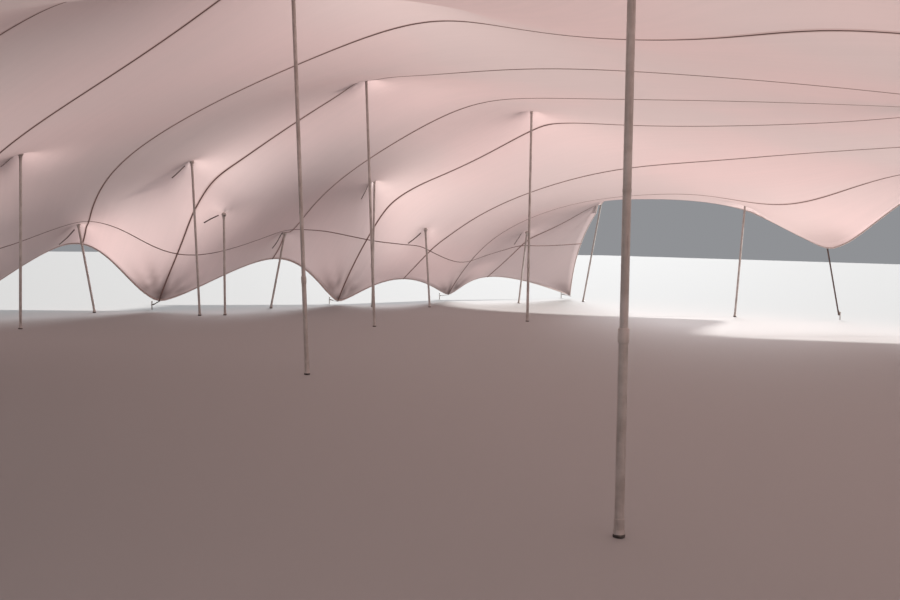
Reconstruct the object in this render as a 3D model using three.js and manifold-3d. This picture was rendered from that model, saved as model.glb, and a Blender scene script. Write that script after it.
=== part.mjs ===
import * as THREE from 'three';
import { mergeVertices } from 'three/addons/utils/BufferGeometryUtils.js';
import Module from 'manifold-3d';

const wasm = await Module();
wasm.setup();

// A stretch tent: one sheet of elastic fabric, sewn from twelve panels, pushed up by poles
// and pulled down to pegs along its west and east edges. The north and south edges stand
// open on poles. All sizes are in millimetres. X runs along the seams, Y across them.

// The sheet
const panelCount = 12;
const panelPitch = 1860;
const sheetLength = 24000;
const sheetWidth = panelCount * panelPitch;
const skin = 16;
const bayGap = 0.3;

// The north and south hems are cut in a curve, so the outer seams run out at them
const hemDepth = 2.14;
const hemReach = 3940;
const hemFlattening = 0.68;

// How the fabric is held: tension in the hems against tension in the cloth, as a length,
// and the length over which the cloth rounds off a point, in plan and in height
const peggedHemPull = 580;
const openHemPull = 1730;
const planRounding = 1300;
const peakRounding = 800;
const pinStiffness = 2000;

// Close to the head of a west or open edge pole the cloth is drawn up in a narrow cone. The
// net is too coarse to follow it, so it is pinned below the head by the height of that cone.
const mainCone = 160;
const edgeCone = 180;
const sideCone = 300;
const lowSideCone = 200;

// The net that finds the shape, and the coarser one that the solids are made from
const netPerPanel = 6;
const facetsPerPanel = 3;
const netRows = panelCount * netPerPanel;
const netColumns = 72;
const solverSteps = 2500;
const solverTolerance = 1e-7;

// Poles
const lowerTubeRadius = 25;
const upperTubeRadius = 22;
const collarRadius = 29;
const collarLength = 70;
const collarHeight = 1000;
const jointedFrom = 3000;
const headRadius = 45;
const footRadius = 32;
const footHeight = 40;
const poleSides = 12;
const headSteps = 3;
const seatGap = 0.8;
const seatSample = 1;
const smallestArea = 1e-6;

// Tie-downs
const strapWidth = 50;
const strapThickness = 14;
const pegRadius = 16;
const pegHeight = 170;
const pegSides = 8;

// Places are given on the sheet: panel counts seams from the north edge, run is the
// distance from the west edge. shift moves the pole top from where that point of the
// sheet would lie flat, and lean is how far the top stands out from the foot.
const westPoles = [
  { name: 'edge_pole_west_1', panel: 1.13, run: 1260, height: 1750, shift: [40, -400], lean: [-50, 220], cone: edgeCone },
  { name: 'edge_pole_west_2', panel: 3.29, run: 1340, height: 1760, shift: [290, 400], lean: [-200, 0], cone: edgeCone },
  { name: 'edge_pole_west_3', panel: 5.02, run: 570, height: 1620, shift: [230, 530], lean: [-100, 330], cone: edgeCone },
  { name: 'edge_pole_west_4', panel: 7.08, run: 450, height: 1730, shift: [-30, 150], lean: [-450, -150], cone: edgeCone },
  { name: 'edge_pole_west_5', panel: 9, run: 1300, height: 1680, shift: [0, 0], lean: [-200, 0], cone: edgeCone },
  { name: 'edge_pole_west_6', panel: 11, run: 1000, height: 1700, shift: [0, 0], lean: [-200, -50], cone: edgeCone },
  { name: 'side_pole_west_1', panel: 4.27, run: 1840, height: 2830, shift: [-670, 1150], lean: [0, 0], cone: sideCone },
  { name: 'side_pole_west_2', panel: 5.79, run: 2140, height: 1950, shift: [180, -160], lean: [-100, 0], cone: lowSideCone },
  { name: 'side_pole_west_3', panel: 6.2, run: 2650, height: 2910, shift: [-490, 40], lean: [-150, -100], cone: sideCone },
  { name: 'side_pole_west_4', panel: 7.73, run: 3730, height: 2760, shift: [280, -790], lean: [0, 0], cone: sideCone },
  { name: 'main_pole_1', panel: 4.2, run: 6780, height: 3970, shift: [-690, 1230], lean: [0, 0], cone: mainCone },
  { name: 'main_pole_2', panel: 5.92, run: 5480, height: 4270, shift: [240, 1030], lean: [-200, -110], cone: mainCone },
];
const northPoles = [
  { name: 'edge_pole_north_1', panel: 0.83, run: 1730, height: 2540, shift: [-310, 1380], lean: [0, 500], cone: edgeCone },
  { name: 'edge_pole_north_2', panel: 1.67, run: 7700, height: 2430, shift: [-810, 1750], lean: [0, 240], cone: edgeCone },
];
const middlePoles = [
  { name: 'edge_pole_north_3', panel: 1.47, run: 12000, height: 2920, shift: [0, 1080], lean: [0, 250], cone: 0 },
  { name: 'edge_pole_south_3', panel: 10.53, run: 12000, height: 2920, shift: [0, -1080], lean: [0, -250], cone: 0 },
  { name: 'main_pole_5', panel: 8.05, run: 10000, height: 4860, shift: [800, 710], lean: [-450, 0], cone: 0 },
];

// The east half copies the west half, except for the tops of these poles
const eastTops = {
  main_pole_3: { height: 2670, shift: [-1140, 1000] },
  main_pole_4: { height: 3250, shift: [-2860, 1110] },
  side_pole_east_1: { height: 2280, shift: [-350, 1760] },
  side_pole_east_3: { height: 2230, shift: [-1580, 900] },
  side_pole_east_4: { height: 3250, shift: [-2260, -1970] },
  edge_pole_north_4: { height: 3430, shift: [510, 1300] },
};

// The tips of the sheet: those along the pegged edges, then those of the open edges
const westTips = [
  { panel: 0, height: 70, shift: [220, 20] },
  { panel: 2, height: 140, shift: [-250, 80] },
  { panel: 4, height: 80, shift: [370, 250] },
  { panel: 6, height: 190, shift: [790, -390] },
  { panel: 8, height: 190, shift: [790, -390] },
  { panel: 10, height: 130, shift: [500, 0] },
  { panel: 12, height: 130, shift: [500, 0] },
];
const eastTips = westTips.map(({ panel }) => ({ panel, height: 130, shift: [0, 0] }));
const openTip = { run: 8670, height: 1440, shift: [-200, -760] };
const tipReach = 350;
const openTipReach = 500;

// Mirrored supports: the east half copies the west half, the south edge the north edge
const mirrorNames = {
  main_pole_1: 'main_pole_4',
  main_pole_2: 'main_pole_3',
  edge_pole_north_1: 'edge_pole_north_5',
  edge_pole_north_2: 'edge_pole_north_4',
};

function mirrorEast(pole) {
  return {
    ...pole,
    name: mirrorNames[pole.name] ?? pole.name.replace('west', 'east'),
    run: sheetLength - pole.run,
    shift: [-pole.shift[0], pole.shift[1]],
    lean: [-pole.lean[0], pole.lean[1]],
    cone: 0,
  };
}

function mirrorSouth(pole) {
  return {
    ...pole,
    name: pole.name.replace('north', 'south'),
    panel: panelCount - pole.panel,
    shift: [pole.shift[0], -pole.shift[1]],
    lean: [pole.lean[0], -pole.lean[1]],
  };
}

const northRow = [...northPoles, ...northPoles.map(mirrorEast)];
const poles = [
  ...westPoles,
  ...westPoles.map(mirrorEast),
  ...northRow,
  ...northRow.map(mirrorSouth),
  ...middlePoles,
].map((pole) => ({ ...pole, ...eastTops[pole.name] }));

// The west pegs reach further out than the east ones, so the sheet lies off centre by this
const centring = 130;

function flatPlace(panel, run) {
  return [run - sheetLength / 2 + centring, sheetWidth / 2 - panel * panelPitch];
}

// How many panels the curve of a hem takes off, at a distance from the west edge
function hemCut(run) {
  const near = Math.min(run, sheetLength - run);
  const arch = Math.sin((Math.PI * run) / sheetLength) ** 2;
  return hemDepth * Math.tanh(near / hemReach) - hemFlattening * arch;
}

// The row of the net that a seam count falls on: the net fills the sheet between the hems
function netRow(panel, run) {
  const cut = hemCut(run);
  const share = (panel - cut) / (panelCount - 2 * cut);
  return netRows * THREE.MathUtils.clamp(share, 0, 1);
}

for (const pole of poles) {
  const [x, y] = flatPlace(pole.panel, pole.run);
  pole.top = new THREE.Vector3(x + pole.shift[0], y + pole.shift[1], pole.height);
}

const tips = [];

function addTip(panel, run, { height, shift }, out) {
  const [x, y] = flatPlace(panel, run);
  tips.push({ panel, run, place: new THREE.Vector3(x + shift[0], y + shift[1], height), out });
}

for (const tip of westTips) addTip(tip.panel, 0, tip, [-tipReach, 0]);
for (const tip of eastTips) addTip(tip.panel, sheetLength, tip, [tipReach, 0]);
for (const east of [false, true]) {
  for (const south of [false, true]) {
    const run = east ? sheetLength - openTip.run : openTip.run;
    const shift = [openTip.shift[0] * (east ? -1 : 1), openTip.shift[1] * (south ? -1 : 1)];
    addTip(south ? panelCount : 0, run, { ...openTip, shift }, [0, south ? -openTipReach : openTipReach]);
  }
}

// The shape of the sheet is the balance of a net of threads: every knot is pulled equally
// by its neighbours, the hems pull harder than the cloth, and bending rounds the points.
const netCells = { rows: netRows, columns: netColumns };
const stepY = sheetWidth / netCells.rows;
const stepX = sheetLength / netCells.columns;
const knotsAcross = netCells.columns + 1;
const knotCount = (netCells.rows + 1) * knotsAcross;

function knot(row, column) {
  return row * knotsAcross + column;
}

function makeThreads() {
  const threads = [];
  const { rows, columns } = netCells;
  for (let row = 0; row <= rows; row += 1) {
    for (let column = 0; column <= columns; column += 1) {
      if (row < rows) {
        const hem = column === 0 || column === columns;
        const pull = (hem ? 0.5 : 1) * (stepX / stepY) + (hem ? peggedHemPull / stepY : 0);
        threads.push([knot(row, column), knot(row + 1, column), pull]);
      }
      if (column < columns) {
        const hem = row === 0 || row === rows;
        const pull = (hem ? 0.5 : 1) * (stepY / stepX) + (hem ? openHemPull / stepX : 0);
        threads.push([knot(row, column), knot(row, column + 1), pull]);
      }
    }
  }
  return threads;
}

function coneFoot(pole) {
  return pole.top.clone().setZ(pole.height - pole.cone);
}

function makePins() {
  const held = [
    ...poles.map((pole) => ({ panel: pole.panel, run: pole.run, place: coneFoot(pole) })),
    ...tips,
  ];
  return held.map(({ panel, run, place }) => {
    const row = netRow(panel, run);
    const column = run / stepX;
    const r = Math.min(Math.floor(row), netCells.rows - 1);
    const c = Math.min(Math.floor(column), netCells.columns - 1);
    const fr = row - r;
    const fc = column - c;
    return {
      knots: [knot(r, c), knot(r + 1, c), knot(r, c + 1), knot(r + 1, c + 1)],
      shares: [(1 - fr) * (1 - fc), fr * (1 - fc), (1 - fr) * fc, fr * fc],
      place,
    };
  });
}

const threads = makeThreads();
const pins = makePins();

// Adds weight * (sum of coefficients * values) back along the same knots
function addStiffness(values, out, knots, coefficients, weight) {
  let sum = 0;
  for (let i = 0; i < knots.length; i += 1) sum += coefficients[i] * values[knots[i]];
  sum *= weight;
  for (let i = 0; i < knots.length; i += 1) out[knots[i]] += coefficients[i] * sum;
}

const bends = [];
for (let row = 0; row <= netCells.rows; row += 1) {
  for (let column = 0; column <= netCells.columns; column += 1) {
    const here = knot(row, column);
    if (row > 0 && row < netCells.rows) {
      const knots = [here, knot(row - 1, column), knot(row + 1, column)];
      bends.push({ knots, coefficients: [-2, 1, 1], weight: stepX / stepY ** 3 });
    }
    if (column > 0 && column < netCells.columns) {
      const knots = [here, knot(row, column - 1), knot(row, column + 1)];
      bends.push({ knots, coefficients: [-2, 1, 1], weight: stepY / stepX ** 3 });
    }
    if (row < netCells.rows && column < netCells.columns) {
      const knots = [here, knot(row + 1, column), knot(row, column + 1), knot(row + 1, column + 1)];
      bends.push({ knots, coefficients: [1, -1, -1, 1], weight: 2 / (stepX * stepY) });
    }
  }
}

function pullOn(values, rounding, out) {
  out.fill(0);
  for (const [a, b, pull] of threads) {
    const force = pull * (values[a] - values[b]);
    out[a] += force;
    out[b] -= force;
  }
  for (const { knots, coefficients, weight } of bends) {
    addStiffness(values, out, knots, coefficients, weight * rounding ** 2);
  }
  for (const pin of pins) addStiffness(values, out, pin.knots, pin.shares, pinStiffness);
}

function dot(a, b) {
  let sum = 0;
  for (let i = 0; i < a.length; i += 1) sum += a[i] * b[i];
  return sum;
}

// Conjugate gradients, one coordinate at a time, scaled by the stiffness of each knot
function balance(axis, rounding) {
  const start = flatNet(axis);
  const values = Float64Array.from(start);
  const load = new Float64Array(knotCount);
  const scale = new Float64Array(knotCount);
  for (const [a, b, pull] of threads) {
    scale[a] += pull;
    scale[b] += pull;
  }
  for (const item of bends) {
    const weight = item.weight * rounding ** 2;
    item.knots.forEach((k, i) => { scale[k] += item.coefficients[i] ** 2 * weight; });
  }
  for (const pin of pins) {
    pin.knots.forEach((k, i) => {
      scale[k] += pin.shares[i] ** 2 * pinStiffness;
      load[k] += pin.shares[i] * pinStiffness * pin.place[axis];
    });
  }
  const product = new Float64Array(knotCount);
  pullOn(values, rounding, product);
  const residual = load.map((value, i) => value - product[i]);
  let scaled = residual.map((value, i) => value / scale[i]);
  const direction = Float64Array.from(scaled);
  let power = dot(residual, scaled);
  const limit = power * solverTolerance ** 2;
  for (let step = 0; step < solverSteps && power > limit; step += 1) {
    pullOn(direction, rounding, product);
    const along = power / dot(direction, product);
    for (let i = 0; i < knotCount; i += 1) {
      values[i] += along * direction[i];
      residual[i] -= along * product[i];
    }
    scaled = residual.map((value, i) => value / scale[i]);
    const next = dot(residual, scaled);
    const keep = next / power;
    power = next;
    for (let i = 0; i < knotCount; i += 1) direction[i] = scaled[i] + keep * direction[i];
  }
  return values;
}

function flatNet(axis) {
  const values = new Float64Array(knotCount);
  const startHeight = 2500;
  for (let row = 0; row <= netCells.rows; row += 1) {
    for (let column = 0; column <= netCells.columns; column += 1) {
      const [x, y] = flatPlace(row / netPerPanel, column * stepX);
      values[knot(row, column)] = { x, y, z: startHeight }[axis];
    }
  }
  return values;
}

const net = {
  x: balance('x', planRounding),
  y: balance('y', planRounding),
  z: balance('z', peakRounding),
};

// The solids use every second knot of the net
const facetStep = netPerPanel / facetsPerPanel;
const facetRows = netCells.rows / facetStep;
const facetColumns = netCells.columns / facetStep;

// The facet corner nearest to each pole top lies on it, so that no peak is cut off
const peaks = new Map();
for (const pole of poles) {
  pole.facetRow = Math.round(netRow(pole.panel, pole.run) / facetStep);
  pole.facetColumn = Math.round(pole.run / stepX / facetStep);
  peaks.set(`${pole.facetRow} ${pole.facetColumn}`, pole.top);
}

function netPoint(facetRow, facetColumn) {
  const peak = peaks.get(`${facetRow} ${facetColumn}`);
  if (peak) return peak.clone();
  const k = knot(facetRow * facetStep, facetColumn * facetStep);
  return new THREE.Vector3(net.x[k], net.y[k], net.z[k]);
}

function netNormal(facetRow, facetColumn) {
  const south = netPoint(Math.min(facetRow + 1, facetRows), facetColumn);
  const north = netPoint(Math.max(facetRow - 1, 0), facetColumn);
  const east = netPoint(facetRow, Math.min(facetColumn + 1, facetColumns));
  const west = netPoint(facetRow, Math.max(facetColumn - 1, 0));
  return east.sub(west).cross(north.sub(south)).normalize();
}

// One bay is the sheet between two seams, with a skin's thickness and closed edges
function bayGeometry(firstPanel, lastPanel) {
  const first = firstPanel * facetsPerPanel;
  const last = lastPanel * facetsPerPanel;
  const positions = [];
  const across = facetColumns + 1;
  for (const side of [0.5, -0.5]) {
    for (let row = first; row <= last; row += 1) {
      for (let column = 0; column <= facetColumns; column += 1) {
        const point = netPoint(row, column);
        if (row === first && first > 0) {
          const inward = netPoint(row + 1, column).sub(point).setLength(bayGap / 2);
          point.add(inward);
        }
        if (row === last && last < facetRows) {
          const inward = netPoint(row - 1, column).sub(point).setLength(bayGap / 2);
          point.add(inward);
        }
        point.addScaledVector(netNormal(row, column), side * skin);
        positions.push(point.x, point.y, point.z);
      }
    }
  }
  const rows = last - first;
  const under = (rows + 1) * across;
  const index = [];
  const quad = (a, b, c, d) => index.push(a, b, c, a, c, d);
  const isPeak = (row, column) => peaks.has(`${first + row} ${column}`);
  for (let row = 0; row < rows; row += 1) {
    for (let column = 0; column < facetColumns; column += 1) {
      // A facet beside a peak is split through the peak, so that the cone stays whole
      const corners = [[0, 0], [1, 0], [1, 1], [0, 1]].map(([south, east]) => (
        (row + south) * across + column + east));
      if (isPeak(row + 1, column) || isPeak(row, column + 1)) corners.push(corners.shift());
      quad(...corners);
      const [a, b, c, d] = corners.map((corner) => under + corner);
      quad(a, d, c, b);
    }
  }
  for (let column = 0; column < facetColumns; column += 1) {
    const south = rows * across + column;
    quad(column + 1, under + column + 1, under + column, column);
    quad(south + 1, south, under + south, under + south + 1);
  }
  for (let row = 0; row < rows; row += 1) {
    const west = row * across;
    const east = west + facetColumns;
    quad(west + across, west, under + west, under + west + across);
    quad(east, east + across, under + east + across, under + east);
  }
  const geometry = new THREE.BufferGeometry();
  geometry.setAttribute('position', new THREE.Float32BufferAttribute(positions, 3));
  geometry.setIndex(index);
  return geometry;
}

function toSolid(geometry) {
  const bare = geometry.clone();
  bare.deleteAttribute('normal');
  bare.deleteAttribute('uv');
  const merged = mergeVertices(bare, 1e-4);
  return new wasm.Manifold(new wasm.Mesh({
    numProp: 3,
    vertProperties: new Float32Array(merged.attributes.position.array),
    triVerts: new Uint32Array(merged.index.array),
  }));
}

function toGeometry(solid) {
  const mesh = solid.getMesh();
  const geometry = new THREE.BufferGeometry();
  geometry.setAttribute('position', new THREE.BufferAttribute(mesh.vertProperties, 3));
  geometry.setIndex(new THREE.BufferAttribute(mesh.triVerts, 1));
  return geometry;
}

// A tie-down is a webbing strap sewn to the tip and a steel peg in the ground
function tieDownSolid(tip) {
  const peg = new THREE.CylinderGeometry(pegRadius, pegRadius, pegHeight, pegSides);
  peg.rotateX(Math.PI / 2);
  const foot = new THREE.Vector3(tip.place.x + tip.out[0], tip.place.y + tip.out[1], pegHeight / 2);
  peg.translate(foot.x, foot.y, foot.z);
  const strapFoot = foot.clone().setZ(pegHeight * 0.6);
  const strapHead = tip.place.clone().lerp(strapFoot, -0.15);
  const run = strapFoot.clone().sub(strapHead);
  const strap = new THREE.BoxGeometry(strapThickness, strapWidth, run.length());
  const along = run.clone().normalize();
  const out = new THREE.Vector3(tip.out[0], tip.out[1], 0).normalize();
  const width = new THREE.Vector3(-out.y, out.x, 0);
  const thick = width.clone().cross(along).normalize();
  const turn = new THREE.Matrix4().makeBasis(thick, width, along);
  strap.applyMatrix4(turn);
  strap.translate(...strapHead.clone().lerp(strapFoot, 0.5).toArray());
  return toSolid(peg).add(toSolid(strap));
}

const fabric = new THREE.MeshStandardMaterial({ color: 0xd9bdb4, roughness: 0.75, metalness: 0 });
const steel = new THREE.MeshStandardMaterial({ color: 0x9a918b, roughness: 0.5, metalness: 0.6 });

const tent = new THREE.Group();

function addMesh(name, geometry, material) {
  const mesh = new THREE.Mesh(geometry, material);
  mesh.name = name;
  tent.add(mesh);
}

const bayEdges = [0, 1, 3, 5, 7, 9, 11, panelCount];
const bays = [];
for (let i = 0; i + 1 < bayEdges.length; i += 1) {
  const [first, last] = [bayEdges[i], bayEdges[i + 1]];
  const bare = bayGeometry(first, last);
  let solid = toSolid(bare);
  for (const tip of tips) {
    const inside = tip.panel >= first && tip.panel <= last;
    if (inside) solid = solid.add(tieDownSolid(tip));
  }
  bays.push(bare);
  addMesh(`canopy_bay_${i + 1}`, toGeometry(solid), fabric);
}

// The underside of the sheet, as triangles
const undersideTriangles = bays.flatMap((geometry) => {
  const position = geometry.attributes.position;
  const index = geometry.index.array;
  const half = position.count / 2;
  const triangles = [];
  for (let i = 0; i < index.length; i += 3) {
    const corners = [index[i], index[i + 1], index[i + 2]];
    if (corners.every((corner) => corner >= half)) {
      triangles.push(corners.map((corner) => new THREE.Vector3().fromBufferAttribute(position, corner)));
    }
  }
  return triangles;
});

// The height of a triangle above a place, or null where the place lies outside it
function heightInTriangle([a, b, c], x, y) {
  const area = (b.x - a.x) * (c.y - a.y) - (c.x - a.x) * (b.y - a.y);
  if (Math.abs(area) < smallestArea) return null;
  const sb = ((x - a.x) * (c.y - a.y) - (c.x - a.x) * (y - a.y)) / area;
  const sc = ((b.x - a.x) * (y - a.y) - (x - a.x) * (b.y - a.y)) / area;
  if (sb < 0 || sc < 0 || sb + sc > 1) return null;
  return a.z + sb * (b.z - a.z) + sc * (c.z - a.z);
}

// The round head of a pole, from its neck to its crown, about a centre at height z
function headProfile(z) {
  const neck = Math.asin(upperTubeRadius / headRadius);
  const profile = [];
  for (let i = 0; i < headSteps; i += 1) {
    const angle = (Math.PI - neck) * (1 - i / headSteps);
    profile.push([headRadius * Math.sin(angle), z + headRadius * Math.cos(angle)]);
  }
  profile.push([0, z + headRadius]);
  return profile;
}

function turned(profile) {
  const outline = profile.map(([radius, z]) => new THREE.Vector2(radius, z));
  return new THREE.LatheGeometry(outline, poleSides).rotateX(Math.PI / 2);
}

function trianglesOf(geometry) {
  const position = geometry.attributes.position;
  const index = geometry.index.array;
  const triangles = [];
  for (let i = 0; i < index.length; i += 3) {
    triangles.push([0, 1, 2].map((k) => new THREE.Vector3().fromBufferAttribute(position, index[i + k])));
  }
  return triangles;
}

const headTriangles = trianglesOf(turned(headProfile(0)));

// The height of a head's centre when the head just touches the cloth from below. The gap is
// left square to the cloth, so it counts for more where the cloth is steep.
function seatedCentre(x, y, steepness) {
  const near = undersideTriangles.filter((triangle) => {
    const xs = triangle.map((corner) => corner.x);
    const ys = triangle.map((corner) => corner.y);
    return Math.min(...xs) < x + headRadius && Math.max(...xs) > x - headRadius
      && Math.min(...ys) < y + headRadius && Math.max(...ys) > y - headRadius;
  });
  let centre = Infinity;
  for (const corner of headTriangles.flat()) {
    for (const triangle of near) {
      const z = heightInTriangle(triangle, x + corner.x, y + corner.y);
      if (z !== null) centre = Math.min(centre, z - corner.z);
    }
  }
  for (let dx = -headRadius; dx <= headRadius; dx += seatSample) {
    for (let dy = -headRadius; dy <= headRadius; dy += seatSample) {
      const crowns = headTriangles.map((triangle) => heightInTriangle(triangle, dx, dy));
      const crown = Math.max(...crowns.filter((z) => z !== null));
      for (const triangle of near) {
        const z = heightInTriangle(triangle, x + dx, y + dy);
        if (z !== null) centre = Math.min(centre, z - crown);
      }
    }
  }
  return centre - seatGap * steepness;
}

// The tall poles are two tubes that meet in a collar, the short ones a single tube
function tubeProfile(height) {
  if (height < jointedFrom) return [[upperTubeRadius, footHeight]];
  const collarTop = collarHeight + collarLength;
  return [
    [lowerTubeRadius, footHeight],
    [lowerTubeRadius, collarHeight],
    [collarRadius, collarHeight],
    [collarRadius, collarTop],
    [upperTubeRadius, collarTop],
  ];
}

// A pole is turned in one profile, rubber foot, tube and round head, and then leaned so
// that foot and head stay level
function poleGeometry(foot, head) {
  const crown = headProfile(head.z);
  const geometry = turned([
    [0, 0],
    [footRadius, 0],
    [footRadius, footHeight],
    ...tubeProfile(head.z),
    ...crown,
  ]);
  const position = geometry.attributes.position;
  const leanFrom = footHeight;
  const leanTo = crown[0][1];
  for (let i = 0; i < position.count; i += 1) {
    const share = THREE.MathUtils.clamp((position.getZ(i) - leanFrom) / (leanTo - leanFrom), 0, 1);
    position.setX(i, position.getX(i) + foot.x + (head.x - foot.x) * share);
    position.setY(i, position.getY(i) + foot.y + (head.y - foot.y) * share);
  }
  return geometry;
}

// A head under sloping cloth sits square to it, so it stands back from the slope
for (const pole of poles) {
  const slope = netNormal(pole.facetRow, pole.facetColumn);
  const x = pole.top.x - slope.x * headRadius;
  const y = pole.top.y - slope.y * headRadius;
  const head = new THREE.Vector3(x, y, seatedCentre(x, y, 1 / slope.z));
  const foot = new THREE.Vector3(pole.top.x - pole.lean[0], pole.top.y - pole.lean[1], 0);
  addMesh(pole.name, poleGeometry(foot, head), steel);
}

export default tent;
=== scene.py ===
# %% [markdown]
# # A stretch tent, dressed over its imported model
# One sheet of elastic fabric is pushed up by poles of different heights and pulled down to
# pegs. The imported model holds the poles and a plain, coarse version of the sheet. This
# lesson makes the real-looking sheet with its seams and hem, the poles and the tie-downs.

# %% Load the frame and keep its box
import math

import bpy
import numpy as np
from mathutils import Matrix, Vector


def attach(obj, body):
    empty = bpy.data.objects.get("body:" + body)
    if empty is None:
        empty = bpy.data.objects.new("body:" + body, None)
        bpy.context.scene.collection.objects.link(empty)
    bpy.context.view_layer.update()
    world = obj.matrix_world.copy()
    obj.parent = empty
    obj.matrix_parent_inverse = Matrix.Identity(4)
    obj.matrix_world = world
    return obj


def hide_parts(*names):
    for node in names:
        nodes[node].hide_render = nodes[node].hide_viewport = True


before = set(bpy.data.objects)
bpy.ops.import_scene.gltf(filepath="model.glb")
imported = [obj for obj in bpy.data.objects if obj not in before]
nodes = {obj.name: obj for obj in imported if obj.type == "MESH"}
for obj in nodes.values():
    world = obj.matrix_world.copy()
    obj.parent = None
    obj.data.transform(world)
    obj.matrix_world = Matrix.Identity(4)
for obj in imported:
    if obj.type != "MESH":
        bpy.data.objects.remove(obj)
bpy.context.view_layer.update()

# %% [markdown]
# ## The camera
# The view is from standing eye height near the south-east corner, looking north-west along
# the underside of the sheet. Three angles could turn the camera, but its heading is counted
# from the west and its roll is tiny, so its three axes are written out instead.

# %% Camera
eye = Vector((10.186, -9.373, 1.505))
heading = math.radians(37.24)
pitch_down = math.radians(3.06)
roll = 0.017
lens = 45.6

level = Vector((-math.cos(heading), math.sin(heading), 0))
forward = level * math.cos(pitch_down) - Vector((0, 0, math.sin(pitch_down)))
right = Vector((level.y, -level.x, 0))
up = right.cross(forward)
camera_x = (right + up * roll).normalized()
camera_y = (up - right * roll).normalized()
camera_z = camera_x.cross(camera_y)

camera_data = bpy.data.cameras.new("camera")
camera_data.lens = lens
camera = bpy.data.objects.new("camera", camera_data)
bpy.context.scene.collection.objects.link(camera)
camera.matrix_world = Matrix((
    (camera_x.x, camera_y.x, camera_z.x, eye.x),
    (camera_x.y, camera_y.y, camera_z.y, eye.y),
    (camera_x.z, camera_y.z, camera_z.z, eye.z),
    (0, 0, 0, 1),
))
bpy.context.scene.camera = camera
print("camera at", tuple(round(v, 2) for v in eye), "lens", lens)

# %% [markdown]
# ## The sizes of the sheet
# The real sheet is twelve panels of knit, sewn side by side and stretched. A place on it is
# given by a seam count from the north edge and a run from the west edge. Plain x and y would
# do as well, but on the real thing poles are found by counting panels. The numbers are those
# of the solids, here in metres.

# %% Sizes of the sheet
panel_count = 12
panel_pitch = 1.86
sheet_length = 24.0
sheet_width = panel_count * panel_pitch
centring = 0.13
cloth_thickness = 0.004

hem_depth = 2.14
hem_reach = 3.94
hem_flattening = 0.68

pegged_hem_pull = 0.58
open_hem_pull = 1.73
plan_rounding = 1.3
peak_rounding = 0.8
pin_stiffness = 2000

# How far the cloth is drawn up in a narrow cone over a head of the west half
main_cone = 0.16
edge_cone = 0.18
side_cone = 0.3
low_side_cone = 0.2
print("sheet:", sheet_length, "by", round(sheet_width, 2), "m")

# %% [markdown]
# ## The supports
# Each pole pushes the sheet up at one point, and each peg pulls one of its tips down. They
# could be empties placed by hand, but a row of values keeps each one together. A pole's row
# is its name, seam count, run, height of the top, shift east and north from where the place
# would lie flat, and the height of the cone over it. A tip's row is its seam count, height
# and shift.

# %% Supports
west_poles = [
    ("edge_pole_west_1", 1.13, 1.26, 1.75, 0.04, -0.4, edge_cone),
    ("edge_pole_west_2", 3.29, 1.34, 1.76, 0.29, 0.4, edge_cone),
    ("edge_pole_west_3", 5.02, 0.57, 1.62, 0.23, 0.53, edge_cone),
    ("edge_pole_west_4", 7.08, 0.45, 1.73, -0.03, 0.15, edge_cone),
    ("edge_pole_west_5", 9.0, 1.3, 1.68, 0, 0, edge_cone),
    ("edge_pole_west_6", 11.0, 1.0, 1.7, 0, 0, edge_cone),
    ("side_pole_west_1", 4.27, 1.84, 2.83, -0.67, 1.15, side_cone),
    ("side_pole_west_2", 5.79, 2.14, 1.95, 0.18, -0.16, low_side_cone),
    ("side_pole_west_3", 6.2, 2.65, 2.91, -0.49, 0.04, side_cone),
    ("side_pole_west_4", 7.73, 3.73, 2.76, 0.28, -0.79, side_cone),
    ("main_pole_1", 4.2, 6.78, 3.97, -0.69, 1.23, main_cone),
    ("main_pole_2", 5.92, 5.48, 4.27, 0.24, 1.03, main_cone),
]
north_poles = [
    ("edge_pole_north_1", 0.83, 1.73, 2.54, -0.31, 1.38, edge_cone),
    ("edge_pole_north_2", 1.67, 7.7, 2.43, -0.81, 1.75, edge_cone),
]
middle_poles = [
    ("edge_pole_north_3", 1.47, 12, 2.92, 0, 1.08, 0),
    ("edge_pole_south_3", 10.53, 12, 2.92, 0, -1.08, 0),
    ("main_pole_5", 8.05, 10, 4.86, 0.8, 0.71, 0),
]
east_tops = {
    "main_pole_3": (2.67, -1.14, 1),
    "main_pole_4": (3.25, -2.86, 1.11),
    "side_pole_east_1": (2.28, -0.35, 1.76),
    "side_pole_east_3": (2.23, -1.58, 0.9),
    "side_pole_east_4": (3.25, -2.26, -1.97),
    "edge_pole_north_4": (3.43, 0.51, 1.3),
}
mirror_names = {
    "main_pole_1": "main_pole_4",
    "main_pole_2": "main_pole_3",
    "edge_pole_north_1": "edge_pole_north_5",
    "edge_pole_north_2": "edge_pole_north_4",
}
west_tips = [
    (0, 0.07, 0.22, 0.02),
    (2, 0.14, -0.25, 0.08),
    (4, 0.08, 0.37, 0.25),
    (6, 0.19, 0.79, -0.39),
    (8, 0.19, 0.79, -0.39),
    (10, 0.13, 0.5, 0),
    (12, 0.13, 0.5, 0),
]
east_tip_height = 0.13
open_tip = (8.67, 1.44, -0.2, -0.76)
written_out = len(west_poles) + len(north_poles) + len(middle_poles)
print("poles written out:", written_out)

# %% [markdown]
# ## The other side
# A tent like this is rigged alike on both sides, and the west and north edges are the ones
# that are known. The rows of the east and south are worked out from them by two functions,
# so a change on one side is a change on both. A few tops of the east half have a height and
# a shift of their own.

# %% Mirrored supports
def to_east(pole):
    name, panel, run, height, across, along, cone = pole
    name = mirror_names.get(name, name.replace("west", "east"))
    return name, panel, sheet_length - run, height, -across, along, 0


def to_south(pole):
    name, panel, run, height, across, along, cone = pole
    return name.replace("north", "south"), panel_count - panel, run, height, across, -along, cone


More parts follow.
